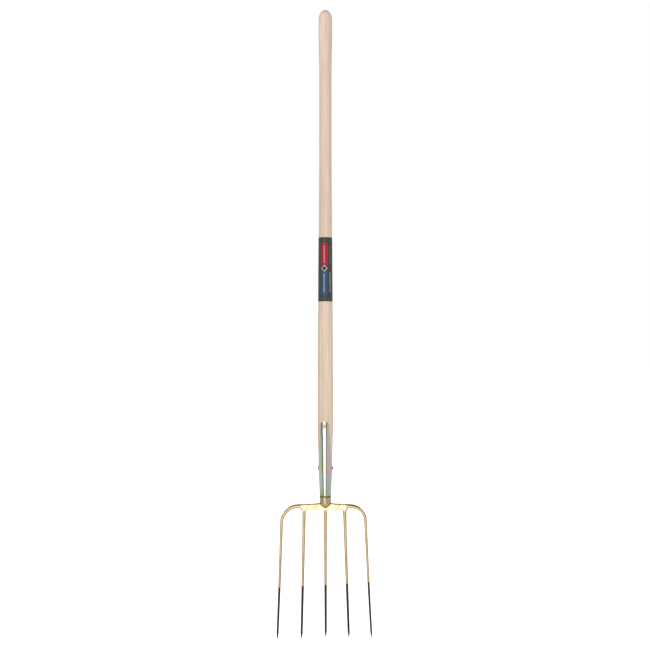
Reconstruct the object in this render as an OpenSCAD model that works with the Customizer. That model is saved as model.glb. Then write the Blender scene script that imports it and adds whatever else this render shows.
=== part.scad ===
// Long-handled fork with five curved tines, a riveted sheet-steel socket and a straight wooden handle.
// Millimetres. Origin: on the handle's axis at the top of the crossbar.
// +Z runs up the handle, -Y is the front, to which the tines curve, and +X is the right seen from the front.

/* [Handle] */
// Height of the handle's rounded end above the crossbar
handle_top = 1233; // [1050:1:1400]
// Diameter where the handle is thickest, just above the socket
socket_d = 38.8; // [38:0.2:40]
// Diameter of the straight waist that the upper hand holds
waist_d = 31; // [28:0.2:34]
// Length of the waist
waist_len = 225; // [100:5:250]
// Diameter of the swelled end
end_d = 34; // [34:0.5:38]
// Length of the swelled end's straight stretch
end_len = 50; // [20:1:60]
// Height of the dome on the swelled end
dome_h = 23; // [12:1:26]

/* [Label] */
// Height of the label's lower edge
label_z = 505; // [280:5:560]
// Height of the label itself
label_len = 159; // [60:1:165]
// Thickness of the label's foil
label_t = 0.3; // [0.2:0.05:0.5]

/* [Socket] */
// Height of the socket's lower edge
foot_z = 21; // [18:1:24]
// Height of the rim that goes all round the handle
rim_z = 97; // [95:1:105]
// Height of the tip of the front tongue
tongue_z = 208; // [196:1:215]
// Width of the tongue at its rounded tip
tongue_w = 21.5; // [16:0.5:24]
// Width of the tongue where it rises from the rim
tongue_root_w = 32.5; // [26:0.5:33]
// Thickness of the sheet steel
sheet_t = 1.5; // [1:0.1:1.8]
// Width of the open seam down the back
seam_w = 0.8; // [0.4:0.1:2]
// Turn of the socket about the handle
socket_turn = -6; // [-12:1:12]

/* [Fastenings] */
// Height of the cross rivet
rivet_z = 89; // [80:1:100]
// Diameter of the rivet's shank
rivet_d = 4.5; // [3.5:0.5:5]
// Diameter of the head that the rivet comes with
rivet_head_d = 9.5; // [8:0.5:11]
// Diameter of the head that is hammered on its other end
rivet_peen_d = 8; // [7:0.5:10]
// Diameter of the nail's head
nail_head_d = 9; // [7:0.5:10]
// Diameter of the nail's shank
nail_d = 3; // [2.5:0.25:3.5]
// Length of the nail under its head
nail_len = 24; // [16:1:28]

/* [Neck and crossbar] */
// Diameter of the neck under the socket
neck_d = 28.8; // [28:0.2:30]
// Depth of the neck's pointed underside below the crossbar's top
neck_point = 14.5; // [10:0.5:14.5]
// Height of the tang's tip
tang_z = 150; // [120:5:180]
// Width of the tang at its root
tang_w = 12; // [10:0.5:14]
// Height of the crossbar
bar_h = 15.2; // [15:0.2:17]
// Thickness of the crossbar from front to back
bar_t = 10.5; // [10.5:0.5:12]
// Drop of the crossbar's arched top at its ends
bar_drop = 1.6; // [1:0.2:3]

/* [Tines] */
// Diameter of a tine at its root
tine_d = 9.2; // [8:0.1:9.6]
// Diameter of a tine just before its point
tine_tip_d = 5.3; // [4:0.1:6]
// Length of the sharpened point
point_len = 13; // [8:1:20]
// How far forward the tips stand
dish = 53; // [0:1:90]
// Diameter of the outer tines where they leave the crossbar
bend_d = 10.1; // [9:0.1:10.5]
// Radius of the left tine's bend, on the centre line
left_bend_r = 43; // [34:1:46]
// Radius of the right tine's bend, on the centre line
right_bend_r = 38; // [34:1:42]

/* [Hidden] */

$fn = 96;
tine_sides = 16;          // sides of a tine's rings
wood = "#ead6bc";
foil = "#56595a";
zinc = "#b9bfa0";
bright = "#d9d6c4";
gold = "#e3c489";

// Where each tine leaves the crossbar or its bend, and where its tip ends: left to right, as forged
root_x = [-109.5, -53, 0, 48.3, 100.6];
tip_x = [-116.8, -58, 1, 57.2, 112.3];
tip_z = [-318, -317, -313, -314, -315];
thickness = [0.94, 1, 1, 1, 0.86];

// Heights along the handle
dome_z = handle_top - dome_h;
end_z = dome_z - end_len;
swell_len = 70;           // from the waist to the swelled end
waist_top = end_z - swell_len;
waist_z = waist_top - waist_len;
full_z = 300;             // the long taper starts here
swell_z = 190;            // the short swell above the socket ends here
seat_z = 29;              // the handle's lower end
shoulder_d = 34.4;        // the wood just above the socket's rim

// Outside of the socket: height and radius
cuff_z = 31;              // the foot's straight cuff ends here
belly_z = 80;
socket_outline = [
    [foot_z, 14.5],
    [cuff_z, 14.7],
    [belly_z, 17.2],
    [rim_z, 17.6],
    [139, 18.6],
    [171, 19.55],
    [tongue_z + 1, socket_d / 2 + 0.7]
];

spigot_d = 2 * (socket_outline[0][1] - sheet_t) - 0.2; // the neck's step inside the socket
neck_z = 1.5;             // the neck's pointed underside starts here
root_z = -20;             // the tines start to curve here
bend_z = -bar_drop - bend_d / 2 + 0.1;
bar_overhang = 5.5;       // from an inner tine's centre to the crossbar's end
bar_left = root_x[1] - bar_overhang;
bar_right = root_x[3] + bar_overhang;

nail_z = tongue_z - 12.5;  // centre of the nail's head
nail_head_h = 1.5;
rivet_head_h = 1.4;
rivet_peen_h = 2.4;

function mix(a, b, t) = a + (b - a) * t;
function ease(t) = (1 - cos(180 * t)) / 2;
function socket_r(z) = lookup(z, socket_outline);

// ---- Handle ----

// Half outline of the handle: seat inside the socket, shoulder, taper, waist, swell, straight end, dome
function handle_outline() = concat(
    [[0, seat_z]],
    [for (z = [seat_z, cuff_z, belly_z, rim_z]) [socket_r(z) - sheet_t, z]],
    [for (i = [0:8]) [mix(shoulder_d, socket_d, ease(i / 8)) / 2, mix(rim_z, swell_z, i / 8)]],
    [[socket_d / 2, full_z], [waist_d / 2, waist_z]],
    [for (i = [0:10]) [mix(waist_d, end_d, ease(i / 10)) / 2, mix(waist_top, end_z, i / 10)]],
    [for (a = [0:6:84]) [end_d / 2 * cos(a), dome_z + dome_h * sin(a)]],
    [[0, handle_top]]
);

module handle() {
    color(wood)
    difference() {
        rotate_extrude() polygon(handle_outline());
        tang_spike();
        rotate([0, 0, socket_turn]) {
            tongue();
            rivet_hole();
            nail_shank();
        }
    }
}

// Radius of the long taper at a height between full_z and waist_z
function taper_r(z) = mix(socket_d, waist_d, (z - full_z) / (waist_z - full_z)) / 2;

module label() {
    low = taper_r(label_z);
    high = taper_r(label_z + label_len);
    color(foil)
    rotate_extrude()
    polygon([
        [low, label_z],
        [low + label_t, label_z],
        [high + label_t, label_z + label_len],
        [high, label_z + label_len]
    ]);
}

// ---- Socket ----

// The sheet, revolved, before its top edge is cut to shape
module sheet() {
    rotate_extrude()
    polygon(concat(
        [for (p = socket_outline) [p[1], p[0]]],
        [for (i = [len(socket_outline) - 1:-1:0]) [socket_outline[i][1] - sheet_t, socket_outline[i][0]]]
    ));
}

// Half the tongue's width from the rim (t = 0) to its round tip (t = 1): slanting flanks and a short flare
function tongue_half(t) =
    let (flare = socket_r(rim_z) + 1 - tongue_root_w / 2, quickness = 16)
    mix(tongue_root_w, tongue_w, t) / 2 + flare * pow(1 - t, quickness);

// Front view of the tongue
module tongue_outline() {
    flare_top = tongue_z - tongue_w / 2;
    steps = [0, 0.02, 0.05, 0.09, 0.15, 0.25, 1];
    flank = [for (t = steps) [tongue_half(t), mix(rim_z, flare_top, t)]];
    translate([0, flare_top]) circle(tongue_w / 2);
    polygon(concat(flank, [for (i = [len(steps) - 1:-1:0]) [-flank[i][0], flank[i][1]]]));
}

module tongue() {
    intersection() {
        sheet();
        rotate([90, 0, 0]) linear_extrude(socket_d) tongue_outline();
    }
}

module socket() {
    color(zinc)
    rotate([0, 0, socket_turn])
    difference() {
        union() {
            intersection() {
                sheet();
                cylinder(h = rim_z, d = 2 * socket_d);
            }
            tongue();
        }
        translate([-seam_w / 2, 0, 0]) cube([seam_w, socket_d, tongue_z]);
        rivet_hole();
        nail_shank();
    }
}

// ---- Fastenings ----

module rivet_hole() {
    translate([0, 0, rivet_z]) rotate([0, 90, 0]) cylinder(h = 2 * socket_d, d = rivet_d, center = true);
}

// A domed head on a flat underside
module domed_head(d, h) {
    ball_r = (pow(d / 2, 2) + pow(h, 2)) / (2 * h);
    intersection() {
        translate([0, 0, h - ball_r]) sphere(ball_r);
        cylinder(h = h, d = d);
    }
}

// Where a head's flat underside meets the socket, which is widest at the head's upper edge
function head_seat(z, d) = socket_r(z + d / 2);

module cross_rivet() {
    peen_seat = head_seat(rivet_z, rivet_peen_d);
    made_seat = head_seat(rivet_z, rivet_head_d);
    color(bright)
    rotate([0, 0, socket_turn])
    translate([0, 0, rivet_z])
    rotate([0, 90, 0]) {
        translate([0, 0, -made_seat]) cylinder(h = made_seat + peen_seat, d = rivet_d);
        translate([0, 0, peen_seat]) domed_head(rivet_peen_d, rivet_peen_h);
        translate([0, 0, -made_seat]) rotate([180, 0, 0]) domed_head(rivet_head_d, rivet_head_h);
    }
}

module nail_shank() {
    translate([0, -head_seat(nail_z, nail_head_d), nail_z])
    rotate([-90, 0, 0])
    cylinder(h = nail_len, d = nail_d);
}

module tongue_nail() {
    color(bright)
    rotate([0, 0, socket_turn]) {
        nail_shank();
        translate([0, -head_seat(nail_z, nail_head_d), nail_z])
        rotate([90, 0, 0])
        domed_head(nail_head_d, nail_head_h);
    }
}

// ---- Head ----

// The square tapered tang that is driven up into the handle
module tang_spike() {
    root = tang_w / 2;
    tip = 2.5;
    side = [[-root, seat_z], [root, seat_z], [tip, tang_z], [-tip, tang_z]];
    intersection() {
        rotate([90, 0, 0]) linear_extrude(2 * tang_w, center = true) polygon(side);
        rotate([90, 0, 90]) linear_extrude(2 * tang_w, center = true) polygon(side);
    }
}

module neck_and_tang() {
    color(gold)
    difference() {
        union() {
            translate([0, 0, -neck_point])
            cylinder(h = neck_z + neck_point, r1 = 0, d2 = neck_d);
            translate([0, 0, neck_z]) cylinder(h = foot_z - neck_z, d = neck_d);
            translate([0, 0, foot_z]) cylinder(h = seat_z - foot_z, d = spigot_d);
            tang_spike();
        }
        bar_blank();
        rotate([0, 0, socket_turn]) rivet_hole();
    }
}

// Web that flares out from a tine's root to the crossbar's underside
module root_web(x) {
    r = -root_z - bar_h;
    w = tine_d / 2;
    translate([x, root_z])
    difference() {
        translate([-w - r, 0]) square([2 * (w + r), r + 1]);
        for (side = [-1, 1]) translate([side * (w + r), 0]) circle(r);
    }
}

// Front view of the crossbar itself: an arched top on a level underside
module bar_outline() {
    reach = max(-bar_left, bar_right);
    polygon(concat(
        [for (i = [-8:8]) [reach * i / 8, -bar_drop * pow(i / 8, 2)]],
        [[reach, -bar_h], [-reach, -bar_h]]
    ));
}

// Its section: a flat bar with rounded upper edges
module bar_section() {
    round_r = 3;
    half = bar_t / 2;
    hull() {
        translate([-half, root_z]) square([bar_t, 1]);
        for (side = [-1, 1]) translate([side * (half - round_r), -round_r]) circle(round_r);
    }
}

// Stand a front view up and give it the bar's thickness
module as_thick_as_bar() {
    rotate([90, 0, 0]) linear_extrude(bar_t, center = true) children();
}

module bar_blank() {
    intersection() {
        union() {
            as_thick_as_bar() bar_outline();
            for (i = [1:3]) as_thick_as_bar() root_web(root_x[i]);
        }
        translate([bar_left, 0, 0]) rotate([90, 0, 90]) linear_extrude(bar_right - bar_left) bar_section();
    }
}

module crossbar() {
    color(gold) bar_blank();
}

// ---- Tines ----

// How far down the curve a height is: 0 at the root, 1 at the tip
function depth(i, z) = max(0, (root_z - z) / (root_z - tip_z[i]));

// A point of tine i's centre line below its root or bend
function tine_point(i, start_z, z) =
    [mix(root_x[i], tip_x[i], (start_z - z) / (start_z - tip_z[i])), -dish * pow(depth(i, z), 2), z];

// Radius of tine i at a height: a taper, then the sharpened point
function tine_r(i, z) =
    thickness[i] * mix(tine_d, tine_tip_d, pow(depth(i, z), 0.6)) / 2
    * min(1, 0.12 + 0.88 * pow((z - tip_z[i]) / point_len, 0.7));

// Radius of an outer tine's bend, on the centre line
function bend_r(i) = root_x[i] < 0 ? left_bend_r : right_bend_r;

// Centre line of an outer tine's bend: out of the crossbar's end, then a quarter turn down
function bend(i) =
    let (r = bend_r(i), side = sign(root_x[i]))
    let (mid_x = abs(root_x[i]) - r, start_x = side > 0 ? bar_right : -bar_left)
    concat(
        [[side * start_x, 0, bend_z]],
        [for (a = [90:-9:9]) [side * (mid_x + r * cos(a)), 0, bend_z - r + r * sin(a)]]
    );

// Radii along that bend, from its start to where the straight stretch takes over
function bend_radii(i) = [for (k = [0:10]) mix(bend_d, thickness[i] * tine_d, k / 10) / 2];

// Closed bar of the given radii around a centre line; its end rings are square to start and finish
module swept_bar(line, radii, start, finish) {
    last = len(line) - 1;
    function along(k) = k == 0 ? start : k == last ? finish : line[k + 1] - line[k - 1];
    function unit(v) = v / norm(v);
    points = [
        for (k = [0:last])
            let (t = unit(along(k)), u = unit(cross([0, 1, 0], t)), v = cross(t, u))
            for (j = [0:tine_sides - 1])
                line[k] + radii[k] * (cos(360 * j / tine_sides) * u + sin(360 * j / tine_sides) * v)
    ];
    walls = [
        for (k = [0:last - 1], j = [0:tine_sides - 1])
            let (n = (j + 1) % tine_sides, low = k * tine_sides, high = low + tine_sides)
            [low + j, high + j, high + n, low + n]
    ];
    caps = [
        [for (j = [0:tine_sides - 1]) j],
        [for (j = [tine_sides - 1:-1:0]) last * tine_sides + j]
    ];
    polyhedron(points, concat(walls, caps));
}

module tine(i) {
    outer = i == 0 || i == 4;
    start_z = outer ? bend_z - bend_r(i) : root_z;
    point_z = tip_z[i] + point_len;
    straight = concat(
        [for (k = [0:12]) tine_point(i, start_z, mix(start_z, point_z, k / 12))],
        [for (k = [1:4]) tine_point(i, start_z, mix(point_z, tip_z[i], k / 4))]
    );
    line = concat(outer ? bend(i) : [], straight);
    radii = concat(outer ? bend_radii(i) : [], [for (p = straight) tine_r(i, p[2])]);
    start = outer ? [sign(root_x[i]), 0, 0] : [0, 0, -1];
    finish = line[len(line) - 1] - line[len(line) - 2];
    color(gold) swept_bar(line, radii, start, finish);
}

handle();
label();
socket();
tongue_nail();
cross_rivet();
neck_and_tang();
crossbar();
tine(0);  // tine_outer_left
tine(1);  // tine_inner_left
tine(2);  // tine_centre
tine(3);  // tine_inner_right
tine(4);  // tine_outer_right
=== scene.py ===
"""Looks of a long-handled five-tine fork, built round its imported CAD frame.

Everything is in metres and in the frame's own axes: +Z up the handle, -Y the front, +X the right.
Angles round the handle are in degrees from the front, positive towards +X.
"""

import math

import bmesh
import bpy
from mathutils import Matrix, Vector, noise
from mathutils.bvhtree import BVHTree


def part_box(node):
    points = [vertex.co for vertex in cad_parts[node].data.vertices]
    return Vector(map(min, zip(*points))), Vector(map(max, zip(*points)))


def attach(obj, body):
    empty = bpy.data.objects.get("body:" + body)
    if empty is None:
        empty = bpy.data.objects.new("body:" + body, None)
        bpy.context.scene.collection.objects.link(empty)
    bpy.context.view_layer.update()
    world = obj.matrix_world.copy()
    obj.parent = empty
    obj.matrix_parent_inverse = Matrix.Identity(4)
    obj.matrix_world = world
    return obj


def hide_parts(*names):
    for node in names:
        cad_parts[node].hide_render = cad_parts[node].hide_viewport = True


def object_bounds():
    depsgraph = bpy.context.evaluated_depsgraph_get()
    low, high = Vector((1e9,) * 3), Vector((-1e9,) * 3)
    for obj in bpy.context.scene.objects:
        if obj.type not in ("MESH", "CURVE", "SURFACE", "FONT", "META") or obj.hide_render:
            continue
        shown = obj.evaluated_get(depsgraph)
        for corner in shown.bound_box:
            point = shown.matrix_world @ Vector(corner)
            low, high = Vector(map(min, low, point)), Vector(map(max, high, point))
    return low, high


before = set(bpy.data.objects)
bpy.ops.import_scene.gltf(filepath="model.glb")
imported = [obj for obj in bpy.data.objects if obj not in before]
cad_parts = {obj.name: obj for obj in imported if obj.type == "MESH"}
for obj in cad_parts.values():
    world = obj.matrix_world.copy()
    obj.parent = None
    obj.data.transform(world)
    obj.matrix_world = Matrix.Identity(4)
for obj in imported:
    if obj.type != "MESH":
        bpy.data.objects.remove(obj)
CAD_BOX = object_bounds()

BODY = "root"
TINES = ["outer_left", "inner_left", "centre", "inner_right", "outer_right"]

# Socket and handle
TURN = -6.0                 # the socket sits a little round the handle, to the left
CLEAR_OF_NAIL = TURN + 12   # where the tongue has no hole
SHEET = 0.0015              # thickness of the socket's steel
FOOT_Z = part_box("socket")[0].z
RIM_Z = 0.097               # where the socket's rim goes all round
TONGUE_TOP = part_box("socket")[1].z
TONGUE_TIP = 0.01075        # radius of the tongue's round end
TONGUE_ROOT = 0.01625       # half its width where it rises from the rim
FLARE = 0.00235             # how much wider the rim is there, at each side
FLARE_QUICKNESS = 16        # how soon that dies out above the rim
FLARE_TOP = TONGUE_TOP - TONGUE_TIP
HANDLE_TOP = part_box("handle")[1].z
DOME_H = 0.023              # height of its domed end

# Head
BAR_LOW, BAR_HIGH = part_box("crossbar")
ROOT_Z = BAR_LOW.z          # the webs end here
BAR_UNDER = -0.0152         # the bar's underside between the webs
BAR_DROP = 0.0016           # how much lower the bar's top is at its ends
NECK_POINT = -0.0145        # where the neck's underside would come to a point, inside the bar
NECK_Z = 0.0015             # its lower edge
NECK_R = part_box("neck_and_tang")[1].x
SEAT_Z = 0.029              # the handle's wood stands on the neck's step at this height
TINE_R = 0.0046
BEND_START_R = 0.00505      # an outer tine's stock where it leaves the bar
BEND_RADIUS = {"outer_left": 0.043, "outer_right": 0.038}
POINT_LEN = 0.013           # length of a tine's forged point

# Camera
VIEW_SIDE = 1.625           # side of the square that the picture covers, at the fork's own distance
CAMERA_X = -0.0009          # middle of that square
CAMERA_HEIGHT = 0.4463
CAMERA_DISTANCE = 1.9
SENSOR = 36.0


# ---- Measuring the frame ----

WALLS = {}


def walls(node):
    """Search tree over a node's faces, made once."""
    if node not in WALLS:
        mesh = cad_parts[node].data
        WALLS[node] = BVHTree.FromPolygons([v.co for v in mesh.vertices], [p.vertices for p in mesh.polygons])
    return WALLS[node]


def cad_radius(node, z, angle=180.0):
    """Distance from the handle's axis to the node's outside, at a height and an angle from the front."""
    out = around(1.0, angle, 0)
    place = walls(node).ray_cast(out + Vector((0, 0, z)), -out)[0]
    if place is None:
        raise ValueError(f"{node} has no wall at height {z:.4f}")
    return place.xy.length


def cad_section(node, z):
    """Centre and mean radius of the node's level cross section at a height."""
    bm = bmesh.new()
    bm.from_mesh(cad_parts[node].data)
    geometry = bm.verts[:] + bm.edges[:] + bm.faces[:]
    cut = bmesh.ops.bisect_plane(bm, geom=geometry, plane_co=(0, 0, z), plane_no=(0, 0, 1))
    loop = [v.co.copy() for v in cut["geom_cut"] if isinstance(v, bmesh.types.BMVert)]
    bm.free()
    low = Vector(map(min, zip(*loop)))
    high = Vector(map(max, zip(*loop)))
    middle = (low + high) / 2
    return middle, sum((p - middle).length for p in loop) / len(loop)


# ---- Mesh helpers ----

def mix(a, b, t):
    return a + (b - a) * t


def ease(t):
    t = min(max(t, 0.0), 1.0)
    return t * t * (3 - 2 * t)


def steps(low, high, count):
    return [mix(low, high, i / count) for i in range(count + 1)]


def around(radius, angle, z):
    """The point at an angle from the front, in degrees, on a circle about the handle's axis."""
    a = math.radians(angle)
    return Vector((radius * math.sin(a), -radius * math.cos(a), z))


def loft(bm, rings, close_ends=True):
    """Skin through rings of points that all have the same length; a one-point ring closes a tip."""
    made = [[bm.verts.new(p) for p in ring] for ring in rings]
    for low, high in zip(made, made[1:]):
        if len(low) == 1 or len(high) == 1:
            tip, ring = (low[0], high) if len(low) == 1 else (high[0], low)
            for i, v in enumerate(ring):
                bm.faces.new((v, ring[(i + 1) % len(ring)], tip))
        else:
            for i in range(len(low)):
                j = (i + 1) % len(low)
                bm.faces.new((low[i], low[j], high[j], high[i]))
    for end in (made[0], made[-1]):
        if close_ends and len(end) > 1:
            bm.faces.new(end)


def strip(bm, low, high):
    """Faces between two open rows of vertices."""
    for i in range(len(low) - 1):
        bm.faces.new((low[i], low[i + 1], high[i + 1], high[i]))


def lathe(bm, outline, sides, wobble=None):
    """Revolve (radius, z) points about the Z axis. wobble(angle, z) is added to each radius."""
    angles = [360 * i / sides for i in range(sides)]
    rings = []
    for r, z in outline:
        if r == 0:
            rings.append([Vector((0, 0, z))])
        else:
            rings.append([around(r + (wobble(a, z) if wobble else 0), a, z) for a in angles])
    loft(bm, rings)


def to_object(name, bm, smooth_angle=40.0):
    bmesh.ops.recalc_face_normals(bm, faces=bm.faces[:])
    mesh = bpy.data.meshes.new(name)
    bm.to_mesh(mesh)
    bm.free()
    mesh.polygons.foreach_set("use_smooth", [True] * len(mesh.polygons))
    mesh.set_sharp_from_angle(angle=math.radians(smooth_angle))
    obj = bpy.data.objects.new(name, mesh)
    bpy.context.scene.collection.objects.link(obj)
    return obj


def piece(obj, materials, nodes):
    """Make obj a piece of the fork that stands for the named CAD nodes."""
    for material in materials:
        obj.data.materials.append(material)
    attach(obj, BODY)
    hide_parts(*nodes)
    return obj


# ---- Material helpers ----

class Nodes:
    """Short calls for putting a node tree together."""

    def __init__(self, tree):
        self.tree = tree

    def add(self, kind, settings=None, **inputs):
        node = self.tree.nodes.new(kind)
        for name, value in (settings or {}).items():
            setattr(node, name, value)
        for name, value in inputs.items():
            self.feed(node.inputs[name.replace("_", " ")], value)
        return node

    def feed(self, socket, value):
        if isinstance(value, bpy.types.NodeSocket):
            self.tree.links.new(value, socket)
        else:
            socket.default_value = value

    def math(self, operation, *values):
        node = self.add("ShaderNodeMath", {"operation": operation})
        for socket, value in zip(node.inputs, values):
            self.feed(socket, value)
        return node.outputs[0]

    def axes(self, place):
        node = self.add("ShaderNodeSeparateXYZ", Vector=place)
        return node.outputs[0], node.outputs[1], node.outputs[2]

    def turns(self, place):
        """Angle round the Z axis in turns: 0 at the front, 0.25 at the right, -0.25 at the left."""
        x, y, _ = self.axes(place)
        return self.math("DIVIDE", self.math("ARCTAN2", x, self.math("MULTIPLY", y, -1.0)), 2 * math.pi)

    def span(self, value, low, high):
        """The value, rescaled so that low becomes 0 and high becomes 1, and kept between them."""
        node = self.add("ShaderNodeMapRange", Value=value)
        node.inputs["From Min"].default_value = low
        node.inputs["From Max"].default_value = high
        return node.outputs[0]

    def ramp(self, value, *stops):
        """Colour or grey by value; a stop is (position, grey) or (position, (r, g, b))."""
        node = self.add("ShaderNodeValToRGB", Fac=value)
        elements = node.color_ramp.elements
        while len(elements) < len(stops):
            elements.new(0.5)
        for element, (position, colour) in zip(elements, stops):
            element.position = position
            rgb = colour if isinstance(colour, tuple) else (colour,) * 3
            element.color = (*rgb, 1)
        return node.outputs["Color"]

    def blend(self, factor, a, b):
        """From colour a to colour b; each is a socket or (r, g, b)."""
        node = self.add("ShaderNodeMix", {"data_type": "RGBA"})
        self.feed(node.inputs[0], factor)
        for socket, colour in ((node.inputs[6], a), (node.inputs[7], b)):
            self.feed(socket, colour if isinstance(colour, bpy.types.NodeSocket) else (*colour, 1))
        return node.outputs[2]


class Look(Nodes):
    """A Principled material put together from short node calls."""

    def __init__(self, name, **shader):
        self.material = bpy.data.materials.new(name)
        self.material.use_nodes = True
        super().__init__(self.material.node_tree)
        self.bsdf = self.tree.nodes["Principled BSDF"]
        self.place = self.add("ShaderNodeTexCoord").outputs["Object"]
        for socket, value in shader.items():
            self.bsdf.inputs[socket.replace("_", " ")].default_value = value

    def set(self, socket, value):
        self.feed(self.bsdf.inputs[socket], value)

    def stretched(self, across, along):
        """The place, scaled across and along the handle; noise on it has features 1 m / scale wide."""
        node = self.add("ShaderNodeMapping", Vector=self.place)
        node.inputs["Scale"].default_value = (across, across, along)
        return node.outputs[0]

    def noise(self, place, detail=3.0, rough=0.5, twist=0.0):
        node = self.add("ShaderNodeTexNoise", Vector=place, Scale=1.0, Detail=detail, Roughness=rough,
                        Distortion=twist)
        return node.outputs["Fac"]

    def bump(self, height, distance, strength=1.0, onto=None):
        node = self.add("ShaderNodeBump", Height=height, Distance=distance, Strength=strength)
        if onto is not None:
            self.feed(node.inputs["Normal"], onto)
        return node.outputs[0]


# ---- Materials ----

DIP_HEIGHT = -0.196         # the dip line at the middle of the fork
DIP_SLANT = 0.056


def ash_wood():
    look = Look("ash_wood", Roughness=0.62, IOR=1.45)
    drift = look.noise(look.stretched(6, 1.2), detail=2)
    x, y, z = look.axes(look.place)
    # growth rings: shells about a pith that lies beside the handle and wanders slowly along it
    px = look.math("ADD", look.math("ADD", x, 0.055), look.math("MULTIPLY", drift, 0.03))
    py = look.math("ADD", look.math("ADD", y, 0.035), look.math("MULTIPLY", z, 0.012))
    ring = look.math("SQRT", look.math("ADD", look.math("MULTIPLY", px, px), look.math("MULTIPLY", py, py)))
    ring = look.math("FRACT", look.math("MULTIPLY", ring, 330.0))
    band = look.ramp(ring, (0.0, 0.0), (0.10, 1.0), (0.35, 0.35), (0.92, 0.0), (1.0, 0.0))
    streak = look.noise(look.stretched(420, 9), detail=4, rough=0.6)
    broad = look.noise(look.stretched(60, 1.6), detail=3)
    pores = look.noise(look.stretched(1500, 40), detail=2, rough=0.7)
    pore = look.ramp(pores, (0.0, 1.0), (0.36, 1.0), (0.42, 0.0), (1.0, 0.0))
    colour = look.ramp(broad, (0.30, (0.71, 0.56, 0.445)), (0.5, (0.80, 0.65, 0.515)),
                       (0.7, (0.90, 0.76, 0.63)))
    colour = look.blend(look.ramp(streak, (0.38, 0.0), (0.66, 0.8)), colour, (0.62, 0.465, 0.355))
    colour = look.blend(look.math("MULTIPLY", band, 0.26), colour, (0.60, 0.445, 0.32))
    open_pore = look.math("MULTIPLY", pore, look.math("MULTIPLY", band, 0.35))
    colour = look.blend(open_pore, colour, (0.40, 0.28, 0.19))
    end_grain = look.math("MULTIPLY", look.span(z, HANDLE_TOP - 0.012, HANDLE_TOP - 0.002), 0.7)
    look.set("Base Color", look.blend(end_grain, colour, (0.42, 0.33, 0.27)))
    look.set("Roughness", look.ramp(streak, (0.2, 0.52), (0.8, 0.70)))
    fine = look.bump(pore, 0.00008, 0.5)
    look.set("Normal", look.bump(streak, 0.00018, 0.5, fine))
    return look.material


def zinc_steel():
    """Bright zinc under a thin yellow passivation, whose tint drifts over the sheet; the front's tints, left
    and right of the middle, are partly painted reflection.
    """
    look = Look("zinc_steel", Metallic=1.0)
    _, _, z = look.axes(look.place)
    cloud = look.noise(look.stretched(45, 28), detail=3, rough=0.55, twist=0.5)
    height = look.math("ADD", look.span(z, FOOT_Z, TONGUE_TOP), look.math("MULTIPLY", cloud, 0.16))
    height = look.math("SUBTRACT", height, 0.08)
    # partly painted reflection: the front's tints by height, one set left and one right of the middle, stand
    # in partly for coloured reflections beside the highlight; the rest is the passivation's own drifting tint
    left = look.ramp(
        height, (0.0, (0.40, 0.42, 0.24)), (0.10, (0.44, 0.53, 0.48)), (0.28, (0.48, 0.58, 0.53)),
        (0.36, (0.52, 0.57, 0.27)), (0.45, (0.47, 0.55, 0.38)), (0.70, (0.50, 0.54, 0.46)),
        (0.92, (0.55, 0.50, 0.47)), (1.0, (0.46, 0.44, 0.26)))
    right = look.ramp(
        height, (0.0, (0.36, 0.46, 0.34)), (0.10, (0.38, 0.48, 0.39)), (0.24, (0.45, 0.53, 0.46)),
        (0.30, (0.60, 0.42, 0.42)), (0.42, (0.56, 0.46, 0.47)), (0.70, (0.55, 0.51, 0.50)),
        (0.92, (0.56, 0.50, 0.46)), (1.0, (0.46, 0.44, 0.26)))
    side = look.math("ADD", look.turns(look.place), look.math("MULTIPLY", cloud, 0.05))
    front = look.blend(look.span(side, -0.02, 0.09), left, right)
    around_back = look.span(look.math("ABSOLUTE", look.turns(look.place)), 0.26, 0.48)
    back = look.ramp(cloud, (0.3, (0.44, 0.55, 0.46)), (0.6, (0.55, 0.54, 0.36)))
    colour = look.blend(around_back, front, back)
    drawn = look.noise(look.stretched(900, 14), detail=3)
    look.set("Base Color", look.blend(look.math("MULTIPLY", drawn, 0.3), colour, (0.53, 0.52, 0.47)))
    look.set("Roughness", look.ramp(drawn, (0.3, 0.12), (0.7, 0.20)))
    look.set("Normal", look.bump(drawn, 0.00001, 0.3))
    return look.material


LACQUER = {"Metallic": 0.9, "Coat_Weight": 0.3, "Coat_Roughness": 0.12}


def lacquer_colours(look):
    """Colour, roughness and flecks of gold lacquer on forged steel, with brown scale and paler patches."""
    cloud = look.noise(look.stretched(70, 30), detail=4, rough=0.6)
    fleck = look.noise(look.stretched(600, 260), detail=3, rough=0.6)
    colour = look.ramp(cloud, (0.3, (0.60, 0.42, 0.20)), (0.5, (0.76, 0.58, 0.32)),
                       (0.72, (0.88, 0.73, 0.46)))
    colour = look.blend(look.ramp(fleck, (0.60, 0.0), (0.72, 0.6)), colour, (0.40, 0.25, 0.12))
    rough = look.ramp(cloud, (0.3, 0.36), (0.7, 0.24))
    return colour, rough, fleck


def bar_lacquer():
    """The lacquer on the crossbar, with painted shade where the neck laps over it."""
    look = Look("bar_lacquer", **LACQUER)
    colour, rough, fleck = lacquer_colours(look)
    x, y, z = look.axes(look.place)
    out = look.math("SQRT", look.math("ADD", look.math("MULTIPLY", x, x), look.math("MULTIPLY", y, y)))
    cone = look.math("MULTIPLY", look.math("SUBTRACT", z, NECK_POINT), NECK_R / (NECK_Z - NECK_POINT))
    # painted shade: the bar goes nearly black within a couple of millimetres of the neck's cone, standing in
    # for the shadow in that crease
    corner = look.span(look.math("SUBTRACT", out, cone), 0.0024, 0.0008)
    look.set("Base Color", look.blend(corner, colour, (0.07, 0.045, 0.02)))
    look.set("Roughness", rough)
    look.set("Normal", look.bump(fleck, 0.0001, 0.4))
    return look.material


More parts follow.
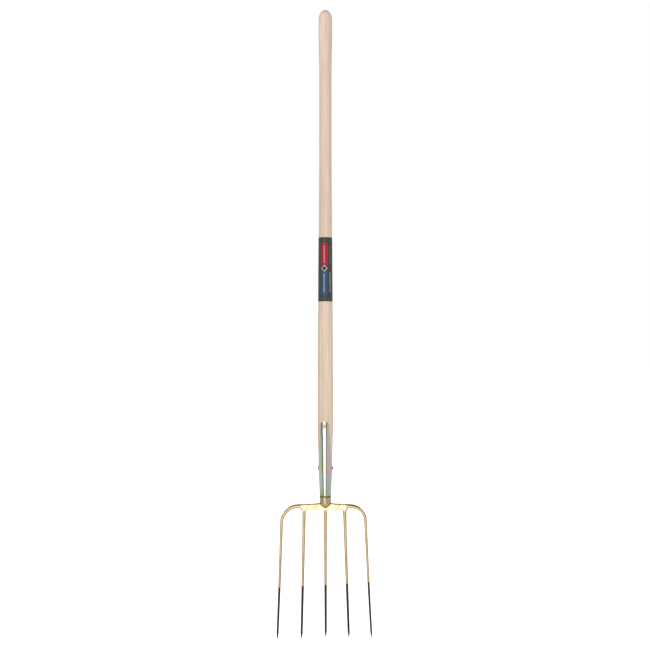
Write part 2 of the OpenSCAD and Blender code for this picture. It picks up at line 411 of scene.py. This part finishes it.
def neck_lacquer():
    """The lacquer over the neck's steel, darker and greener than on the bar, with painted shade under the
    socket's foot and where the neck laps over the bar.
    """
    look = Look("neck_lacquer", **LACQUER)
    colour, rough, fleck = lacquer_colours(look)
    _, y, z = look.axes(look.place)
    # painted shade: the band of neck just under the socket's foot is darkened, as the shadow of the foot's
    # rim
    socket_foot_shade = look.math("MULTIPLY", look.span(z, FOOT_Z - 0.0055, FOOT_Z - 0.003), 0.75)
    bar_contact_shade = look.span(look.math("ABSOLUTE", y), BAR_HIGH.y + 0.0025, BAR_HIGH.y + 0.0005)
    bar_contact_shade = look.math("MULTIPLY", bar_contact_shade, look.math("LESS_THAN", z, NECK_Z))
    colour = look.blend(0.65, colour, (0.30, 0.26, 0.14))
    # painted shade: either darkening turns the lacquer nearly black
    corner = look.math("MAXIMUM", socket_foot_shade, bar_contact_shade)
    look.set("Base Color", look.blend(corner, colour, (0.05, 0.035, 0.02)))
    look.set("Roughness", rough)
    look.set("Normal", look.bump(fleck, 0.00015, 0.5))
    return look.material


def dipped_lacquer():
    """The lacquered tine, its lower end dipped in black enamel up to a slightly slanting, uneven line."""
    look = Look("dipped_lacquer", Specular_IOR_Level=0.3, Coat_Weight=0.05, Coat_Roughness=0.12)
    colour, rough, fleck = lacquer_colours(look)
    x, _, z = look.axes(look.place)
    ragged = look.noise(look.stretched(380, 120), detail=2)
    line = look.math("ADD", look.math("MULTIPLY", x, DIP_SLANT), DIP_HEIGHT - 0.002)
    line = look.math("ADD", line, look.math("MULTIPLY", ragged, 0.004))
    dip = look.math("LESS_THAN", z, line)
    # darker towards the bottom: the lacquer is blended half way to brown everywhere, and further towards it
    # on the lower tines
    downward_darkening = look.math("ADD", look.math("MULTIPLY", look.span(z, -0.07, -0.17), 0.3), 0.5)
    colour = look.blend(downward_darkening, colour, (0.37, 0.25, 0.145))
    look.set("Base Color", look.blend(dip, colour, (0.014, 0.010, 0.010)))
    look.set("Metallic", look.math("MULTIPLY", look.math("SUBTRACT", 1.0, dip), 0.9))
    look.set("Roughness", look.blend(dip, rough, (0.45,) * 3))
    look.set("Normal", look.bump(fleck, 0.0001, 0.4, look.bump(dip, 0.00015, 0.8)))
    return look.material


def hammered_steel(name, colour):
    look = Look(name, Metallic=1.0)
    dent = look.noise(look.stretched(700, 700), detail=3)
    look.set("Base Color", look.ramp(dent, (0.3, tuple(c * 0.6 for c in colour)), (0.7, colour)))
    look.set("Roughness", look.ramp(dent, (0.3, 0.48), (0.7, 0.28)))
    look.set("Normal", look.bump(dent, 0.0003, 0.6))
    return look.material


# ---- Handle ----

def tongue_half_width(z):
    """Half the tongue's width at a height, as its front view shows it."""
    if z > FLARE_TOP:
        return math.sqrt(max(TONGUE_TIP ** 2 - (z - FLARE_TOP) ** 2, 0))
    t = (z - RIM_Z) / (FLARE_TOP - RIM_Z)
    return mix(TONGUE_ROOT, TONGUE_TIP, t) + FLARE * (1 - t) ** FLARE_QUICKNESS


def tongue_half_angle(z, radius):
    return math.degrees(math.asin(min(tongue_half_width(z) / radius, 1.0)))


def handle_mesh():
    """The turned wood, with sanding waves and the bed that the tongue is sunk in."""
    low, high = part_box("handle")
    hair = 0.0002
    wave_height = 0.0001
    bed_depth = 0.0012
    bed_edge = 2.0
    bed_r = 0.0195
    heights = steps(low.z + hair, RIM_Z - hair, 12) + steps(RIM_Z + hair, TONGUE_TOP + 0.002, 60)
    heights += steps(TONGUE_TOP + 0.012, high.z - DOME_H, 90)
    outline = [(cad_radius("handle", z), z) for z in heights]
    end_r = outline[-1][0]
    for a in (math.radians(d) for d in range(6, 90, 6)):
        outline.append((end_r * math.cos(a), high.z - DOME_H + DOME_H * math.sin(a)))
    outline.append((0, high.z))

    def wobble(angle, z):
        wave = wave_height * (noise.noise(around(1.0, angle, 14 * z)) - 1)
        if not RIM_Z < z < TONGUE_TOP - 0.001:
            return wave
        off_middle = abs((angle - TURN + 180) % 360 - 180)
        inside = tongue_half_angle(z, bed_r) - bed_edge - off_middle
        return wave - bed_depth * ease(inside / bed_edge)

    bm = bmesh.new()
    lathe(bm, outline, 120, wobble)
    return to_object("handle_wood", bm)


# ---- Label ----

LABEL_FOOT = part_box("label")[0].z

# Printed fields, later ones on top: ink, lower and upper edge above the label's foot, left and right angle
FIELDS = [
    ("red", 0.0888, 0.1445, -39, 21),
    ("blue", 0.0163, 0.0748, -39, 21),
    ("pale", 0.0950, 0.1385, -12, -8),
    ("pale", 0.0225, 0.0685, -12, -8),
    ("pale", 0.0225, 0.0730, 38, 42),
    ("grey", 0.0950, 0.1385, 38, 42),
    ("grey", 0.1510, 0.1530, -38, -34),
    ("grey", 0.1510, 0.1530, 34, 38),
    ("grey", 0.0060, 0.0080, -38, -34),
    ("grey", 0.0060, 0.0080, 34, 38),
    ("seam", 0.0, 0.159, 171.6, 172.4),
]
INKS = {
    "charcoal": (0.048, 0.050, 0.043),
    "red": (0.44, 0.006, 0.024),
    "blue": (0.026, 0.080, 0.165),
    "pale": (0.60, 0.62, 0.62),
    "grey": (0.20, 0.21, 0.20),
    "seam": (0.015, 0.015, 0.014),
}
DIAMOND_UP = 0.0818
DIAMOND_ANGLE = -9
# Half height, half angle and ink of the diamond and of the smaller one in it
DIAMONDS = [(0.0085, 27, "pale"), (0.0062, 20, "seam")]


def printed_foil():
    """Foil printed with plain fields of ink and, between the two blocks, a small diamond."""
    look = Look("printed_foil", Specular_IOR_Level=0.3)
    _, _, z = look.axes(look.place)
    up = look.math("SUBTRACT", z, LABEL_FOOT)
    angle = look.math("MULTIPLY", look.turns(look.place), 360.0)
    colour = INKS["charcoal"]
    for ink, low, high, left, right in FIELDS:
        level = look.math("COMPARE", up, (low + high) / 2, (high - low) / 2)
        beside = look.math("COMPARE", angle, (left + right) / 2, (right - left) / 2)
        colour = look.blend(look.math("MULTIPLY", level, beside), colour, INKS[ink])
    rise = look.math("ABSOLUTE", look.math("SUBTRACT", up, DIAMOND_UP))
    aside = look.math("ABSOLUTE", look.math("SUBTRACT", angle, DIAMOND_ANGLE))
    for half_height, half_angle, ink in DIAMONDS:
        level = look.math("DIVIDE", rise, half_height)
        inside = look.math("LESS_THAN", look.math("ADD", level, look.math("DIVIDE", aside, half_angle)), 1.0)
        colour = look.blend(inside, colour, INKS[ink])
    mottle = look.noise(look.stretched(900, 900), detail=3)
    crease = look.noise(look.stretched(90, 26), detail=2)
    look.set("Base Color", look.blend(look.math("MULTIPLY", mottle, 0.25), colour, (0.02, 0.02, 0.02)))
    look.set("Roughness", look.ramp(crease, (0.3, 0.34), (0.7, 0.48)))
    look.set("Normal", look.bump(crease, 0.0003, 0.35))
    return look.material


def label_mesh():
    """The foil as a sleeve, its outside read from the frame."""
    low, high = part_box("label")
    hair = 0.0002
    foil = 0.0003
    bottom_r = cad_radius("label", low.z + hair)
    top_r = cad_radius("label", high.z - hair)
    outside = [(mix(bottom_r, top_r, t), mix(low.z, high.z, t)) for t in steps(0, 1, 24)]
    inside = [(r - foil, z) for r, z in reversed(outside)]
    bm = bmesh.new()
    rings = [[around(r, 4 * i, z) for i in range(90)] for r, z in outside + inside + outside[:1]]
    loft(bm, rings, close_ends=False)
    bmesh.ops.remove_doubles(bm, verts=bm.verts[:], dist=1e-6)
    return to_object("label_foil", bm)


# ---- Socket ----

def socket_radius(z):
    """Outside of the sheet: the frame's, with the foot rolled in a little."""
    roll_height = 0.004
    roll_in = 0.0006
    r = cad_radius("socket", min(max(z, FOOT_Z + 0.0003), TONGUE_TOP - 0.002), CLEAR_OF_NAIL)
    rolled = max(0.0, 1 - (z - FOOT_Z) / roll_height)
    return r - roll_in * rolled ** 2


def socket_mesh():
    """The rolled sheet: a full ring open at the back seam, then a tongue that narrows to a round tip."""
    half_seam = 1.3
    front = steps(-90, 90, 48)
    back = steps(90, 180 - half_seam, 24)[1:]
    columns = [-a for a in reversed(back)] + front + back
    bm = bmesh.new()

    def row(z, angles):
        r = socket_radius(z)
        return [bm.verts.new(around(r, a + TURN, z)) for a in angles]

    ring_rows = [row(z, columns) for z in steps(FOOT_Z, RIM_Z, 40)]
    for low, high in zip(ring_rows, ring_rows[1:]):
        strip(bm, low, high)
    flare_end = mix(RIM_Z, FLARE_TOP, 0.2)
    heights = steps(RIM_Z, flare_end, 16)[1:] + steps(flare_end, FLARE_TOP, 24)[1:]
    heights += [FLARE_TOP + TONGUE_TIP * math.sin(math.radians(a)) for a in range(9, 90, 9)]
    previous = ring_rows[-1][len(back):len(back) + len(front)]
    for z in heights:
        half = tongue_half_angle(z, socket_radius(z))
        tongue_row = row(z, [a / 90 * half for a in front])
        strip(bm, previous, tongue_row)
        previous = tongue_row
    tip = row(TONGUE_TOP, [0])[0]
    for v, beside in zip(previous, previous[1:]):
        bm.faces.new((v, beside, tip))
    obj = to_object("socket_sheet", bm)
    thick = obj.modifiers.new("sheet", "SOLIDIFY")
    thick.thickness = SHEET
    thick.offset = -1
    edge = obj.modifiers.new("edge", "BEVEL")
    edge.width = 0.0004
    edge.segments = 2
    edge.limit_method = "ANGLE"
    edge.angle_limit = math.radians(50)
    return obj


# ---- Nail and rivet ----

RIVET_R = 0.00225
RIVET_HEAD = (0.00475, 0.0014)      # radius and height of the head it comes with
RIVET_PEEN = (0.0040, 0.0024)       # and of the one that is hammered on its right end
NAIL_R = 0.0015
NAIL_LENGTH = 0.024
NAIL_POINT = 0.003
NAIL_HEAD = (0.0045, 0.0015)


def dome_outline(radius, height, sides=8):
    """Half outline of a domed head, from its rim to its crown, with a short upright rim."""
    rim = height * 0.25
    arc = [(radius * math.cos(a), rim + (height - rim) * math.sin(a))
           for a in (math.radians(90 * i / sides) for i in range(sides))]
    return [(radius * 0.97, 0)] + arc + [(0, height)]


def pin_mesh(name, profile, centre, angle):
    """Revolve a profile about its own axis, lay that axis along the given angle and move it to its place."""
    bm = bmesh.new()

    def dent(turn, z):
        return 0.00018 * noise.noise(Vector((math.cos(math.radians(turn)) * 2, z * 900, len(name))))

    lathe(bm, profile, 40, dent)
    out = around(1.0, angle, 0)
    turn = out.to_track_quat("Z", "Y").to_matrix().to_4x4()
    bmesh.ops.transform(bm, matrix=turn, verts=bm.verts[:])
    bmesh.ops.translate(bm, vec=centre, verts=bm.verts[:])
    return to_object(name, bm, 35)


def cross_rivet_mesh():
    """From left to right: its head, its shank through the wood, and its hammered end."""
    low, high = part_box("cross_rivet")
    z = (low.z + high.z) / 2
    clear_of_rivet = 150
    seat = cad_radius("socket", z, clear_of_rivet) + 0.0001
    headed = [(r, -seat - h) for r, h in reversed(dome_outline(*RIVET_HEAD))]
    peened = [(r, seat + h) for r, h in dome_outline(*RIVET_PEEN)]
    shank = [(RIVET_R, -seat), (RIVET_R, seat)]
    return pin_mesh("rivet_pin", headed + shank + peened, Vector((0, 0, z)), 90 + TURN)


def nail_mesh():
    """From its point in the wood out to its head on the tongue."""
    low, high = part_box("tongue_nail")
    z = (low.z + high.z) / 2
    seat = cad_radius("socket", z, CLEAR_OF_NAIL)
    head = [(r, seat + h) for r, h in dome_outline(*NAIL_HEAD)]
    tip = seat - NAIL_LENGTH
    shank = [(0, tip), (NAIL_R, tip + NAIL_POINT), (NAIL_R, seat)]
    return pin_mesh("nail_pin", shank + head, Vector((0, 0, z)), TURN)


# ---- Head ----

def neck_mesh():
    """Round neck with softened edges and a conical underside that laps over the bar, and its square tang."""
    _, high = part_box("neck_and_tang")
    r = high.x
    tang_root, tang_tip = 0.006, 0.0025
    spigot = cad_radius("neck_and_tang", (FOOT_Z + SEAT_Z) / 2, 45)
    outline = [(0, NECK_POINT)] + [(r * s, mix(NECK_POINT, NECK_Z, s)) for s in steps(0.1, 0.96, 10)]
    outline += [(r * 0.99, NECK_Z), (r, NECK_Z + 0.0015), (r * 0.995, 0.009), (r, FOOT_Z - 0.0025)]
    outline += [(r * 0.985, FOOT_Z - 0.0005), (r * 0.93, FOOT_Z), (spigot, FOOT_Z)]
    outline += [(spigot, SEAT_Z), (0, SEAT_Z)]
    bm = bmesh.new()
    lathe(bm, outline, 96)
    square = [(-1, -1), (1, -1), (1, 1), (-1, 1)]
    tang = [(tang_root, SEAT_Z), (tang_tip, high.z)]
    loft(bm, [[Vector((x * half, y * half, z)) for x, y in square] for half, z in tang])
    return to_object("neck_forging", bm, 50)


def bar_top(x):
    """Height of the bar's top: gently arched, and drawn up a little where the neck stands on it."""
    reach = max(-BAR_LOW.x, BAR_HIGH.x)
    rise, rise_starts, rise_ends = 0.001, 0.029, 0.017
    drawn_up = rise * (1 - ease((abs(x) - rise_ends) / (rise_starts - rise_ends)))
    return drawn_up - BAR_DROP * (x / reach) ** 2


def rounded_section(x, half_y, top, bottom, upper_r, lower_r):
    """Ring of points of a bar's section with rounded corners."""
    corners = [(1, upper_r, top - upper_r, 0), (-1, upper_r, top - upper_r, 90),
               (-1, lower_r, bottom + lower_r, 180), (1, lower_r, bottom + lower_r, 270)]
    ring = []
    for side, r, z, start in corners:
        for a in (math.radians(start + 90 * i / 7) for i in range(8)):
            ring.append(Vector((x, side * (half_y - r) + r * math.cos(a), z + r * math.sin(a))))
    return ring


def bar_block(bm):
    """The bar itself; past its ends it turns into the round stock of the outer tines."""
    past = 0.004
    round_r = BEND_START_R * 0.999
    rings = []
    for x in steps(BAR_LOW.x - past, BAR_HIGH.x + past, 90):
        end = min(x - BAR_LOW.x, BAR_HIGH.x - x)
        full = ease((end + past) / (2 * past))
        top = bar_top(x)
        half_y = mix(BEND_START_R, BAR_HIGH.y, full)
        bottom = mix(top - 2 * BEND_START_R, BAR_UNDER, full)
        upper_r = mix(round_r, 0.003, full)
        lower_r = mix(round_r, 0.001, full)
        rings.append(rounded_section(x, half_y, top, bottom, upper_r, lower_r))
    loft(bm, rings)


def web_block(bm, x):
    """The web under the bar at a tine's root, flaring out to the bar on a quarter circle at each side."""
    fillet = BAR_UNDER - ROOT_Z
    rings = []
    for t in steps(0, 1, 12):
        half_x = TINE_R + fillet * (1 - math.sqrt(1 - (0.999 * t) ** 2))
        half_y = mix(TINE_R, BAR_HIGH.y, t)
        z = ROOT_Z + fillet * t
        rings.append([Vector((x + half_x * math.cos(a), half_y * math.sin(a), z))
                      for a in (2 * math.pi * i / 32 for i in range(32))])
    rings.append([p + Vector((0, 0, 0.003)) for p in rings[-1]])
    loft(bm, rings)


def crossbar_mesh():
    bm = bmesh.new()
    bar_block(bm)
    for name in TINES[1:4]:
        web_block(bm, cad_section("tine_" + name, ROOT_Z - 0.0005)[0].x)
    obj = to_object("crossbar_forging", bm, 180)
    remesh = obj.modifiers.new("weld", "REMESH")
    remesh.mode = "VOXEL"
    remesh.voxel_size = 0.0005
    remesh.use_smooth_shade = True
    smooth = obj.modifiers.new("soften", "SMOOTH")
    smooth.factor = 0.5
    smooth.iterations = 6
    return obj


def bend_line(name, root_x, end_r):
    """The quarter turn of an outer tine, from inside the bar's end down to the straight stretch."""
    side = 1 if root_x > 0 else -1
    r = BEND_RADIUS[name]
    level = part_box("tine_" + name)[1].z - BEND_START_R
    start_x = BAR_HIGH.x if side > 0 else BAR_LOW.x
    line = [(Vector((start_x - side * 0.004, 0, level)), BEND_START_R)]
    for a in range(90, 0, -5):
        turn = math.radians(a)
        place = Vector((root_x - side * r * (1 - math.cos(turn)), 0, level - r * (1 - math.sin(turn))))
        line.append((place, mix(end_r, BEND_START_R, a / 90)))
    return line


def tine_line(name):
    """Centre line and radius of a tine at points from its root to its tip, read from the frame."""
    node = "tine_" + name
    low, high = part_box(node)
    hair = 0.0005
    if name in BEND_RADIUS:
        start_z = high.z - BEND_START_R - BEND_RADIUS[name] - hair
        root, root_r = cad_section(node, start_z)
        line = bend_line(name, root.x, root_r)
    else:
        start_z = ROOT_Z - hair
        root, root_r = cad_section(node, start_z)
        line = [(Vector((root.x, 0, BAR_UNDER)), root_r)]
    line += [cad_section(node, z) for z in steps(start_z, low.z + POINT_LEN, 40)]
    point_r = line[-1][1]
    tip_r = 0.0003
    bluntness = 0.75
    for t in steps(0, 1, 8)[1:-1]:
        place, _ = cad_section(node, mix(low.z + POINT_LEN, low.z + 0.0004, t))
        line.append((place, mix(tip_r, point_r, (1 - t) ** bluntness)))
    last_cut = 0.0006
    return line, cad_section(node, low.z + last_cut)[0] - Vector((0, 0, last_cut))


def tine_mesh(name):
    """A tine swept along its line, its hammered stock a hair thinner here and there."""
    line, tip = tine_line(name)
    sides = 24
    rings = []
    for k, (place, r) in enumerate(line):
        along = (line[min(k + 1, len(line) - 1)][0] - line[max(k - 1, 0)][0]).normalized()
        u = Vector((0, 1, 0)).cross(along).normalized()
        v = along.cross(u)
        forged = 0.995 - 0.03 * abs(noise.noise(Vector((place.x * 30, len(name), place.z * 45))))
        rings.append([place + r * forged * (math.cos(a) * u + math.sin(a) * v)
                      for a in (2 * math.pi * i / sides for i in range(sides))])
    rings.append([tip])
    bm = bmesh.new()
    loft(bm, rings)
    return to_object("tine_" + name + "_forging", bm, 60)


# ---- Stage, light and camera ----

def floor(z):
    """White paper that only the camera sees; the world stands in for its light."""
    bm = bmesh.new()
    bmesh.ops.create_circle(bm, cap_ends=True, segments=96, radius=12)
    bmesh.ops.translate(bm, vec=(0, 0, z), verts=bm.verts[:])
    obj = to_object("floor", bm)
    look = Look("floor_paper", Base_Color=(0.92, 0.92, 0.92, 1), Roughness=0.9, Emission_Color=(1, 1, 1, 1),
                Emission_Strength=0.72)
    grain = look.noise(look.stretched(200, 200), detail=2)
    look.set("Normal", look.bump(grain, 0.0002, 0.2))
    obj.data.materials.append(look.material)
    obj.visible_glossy = False
    obj.visible_diffuse = False


def studio_world():
    """White studio. Shiny parts see a broad front light that narrows to its foot, between dark flags, under a
    dark ceiling and over a pale floor."""
    world = bpy.data.worlds.new("studio")
    bpy.context.scene.world = world
    world.use_nodes = True
    world.node_tree.nodes.clear()
    nodes = Nodes(world.node_tree)
    direction = nodes.add("ShaderNodeTexCoord").outputs["Generated"]
    _, _, rise = nodes.axes(direction)
    narrowed = nodes.math("ADD", nodes.math("MULTIPLY", nodes.span(rise, -0.14, -0.23), 0.35), 1.0)
    turn = nodes.math("ADD", nodes.math("MULTIPLY", nodes.turns(direction), narrowed), 0.5)
    walls_seen = nodes.ramp(
        turn, (0.0, 0.36), (0.290, 0.35), (0.325, 0.075), (0.376, 0.075), (0.396, 1.0),
        (0.516, 1.0), (0.527, 0.08), (0.556, 0.08), (0.575, 0.34), (1.0, 0.36))
    high_up = nodes.span(rise, 0.5, 0.7)
    far_down = nodes.span(rise, -0.6, -0.75)
    seen = nodes.blend(high_up, walls_seen, (0.06, 0.06, 0.06))
    seen = nodes.blend(far_down, seen, (0.48, 0.48, 0.48))
    rays = nodes.add("ShaderNodeLightPath")

    def background(colour, strength):
        return nodes.add("ShaderNodeBackground", Color=colour, Strength=strength).outputs[0]

    def choose(ray, plain, chosen):
        """Mixed shader: chosen for this kind of ray, plain for all others."""
        node = nodes.add("ShaderNodeMixShader")
        for socket, value in zip(node.inputs, (rays.outputs[ray], plain, chosen)):
            nodes.feed(socket, value)
        return node.outputs[0]

    lit = choose("Is Glossy Ray", background((1.0, 0.995, 0.985, 1), 0.64), background(seen, 2.4))
    shown = choose("Is Camera Ray", lit, background((1, 1, 1, 1), 1.0))
    nodes.add("ShaderNodeOutputWorld", Surface=shown)


def soft_light(name, place, target, size, power):
    data = bpy.data.lights.new(name, "AREA")
    data.shape = "DISK"
    data.size = size
    data.energy = power
    obj = bpy.data.objects.new(name, data)
    obj.location = place
    obj.rotation_mode = "QUATERNION"
    obj.rotation_quaternion = (Vector(target) - Vector(place)).to_track_quat("-Z", "Y")
    obj.visible_glossy = False
    bpy.context.scene.collection.objects.link(obj)


def camera():
    data = bpy.data.cameras.new("camera")
    data.sensor_width = SENSOR
    data.lens = SENSOR * CAMERA_DISTANCE / VIEW_SIDE
    obj = bpy.data.objects.new("camera", data)
    obj.location = (CAMERA_X, -CAMERA_DISTANCE, CAMERA_HEIGHT)
    obj.rotation_euler = (math.radians(90), 0, 0)
    bpy.context.scene.collection.objects.link(obj)
    bpy.context.scene.camera = obj


# ---- The scene ----

camera()
studio_world()
floor(CAD_BOX[0].z)
soft_light("key", (-0.7, -3.4, 1.2), (0, 0, 0.45), 1.6, 44)
soft_light("fill", (1.2, -3.2, 0.6), (0, 0, 0.45), 1.2, 14)
bpy.context.scene.view_settings.view_transform = "Standard"

NAIL_GREY = (0.47, 0.46, 0.36)
RIVET_BROWN = (0.40, 0.30, 0.28)
dipped = dipped_lacquer()
piece(handle_mesh(), [ash_wood()], ["handle"])
piece(label_mesh(), [printed_foil()], ["label"])
piece(socket_mesh(), [zinc_steel()], ["socket"])
piece(nail_mesh(), [hammered_steel("nail_steel", NAIL_GREY)], ["tongue_nail"])
piece(cross_rivet_mesh(), [hammered_steel("rivet_steel", RIVET_BROWN)], ["cross_rivet"])
piece(neck_mesh(), [neck_lacquer()], ["neck_and_tang"])
piece(crossbar_mesh(), [bar_lacquer()], ["crossbar"])
for tine in TINES:
    piece(tine_mesh(tine), [dipped], ["tine_" + tine])
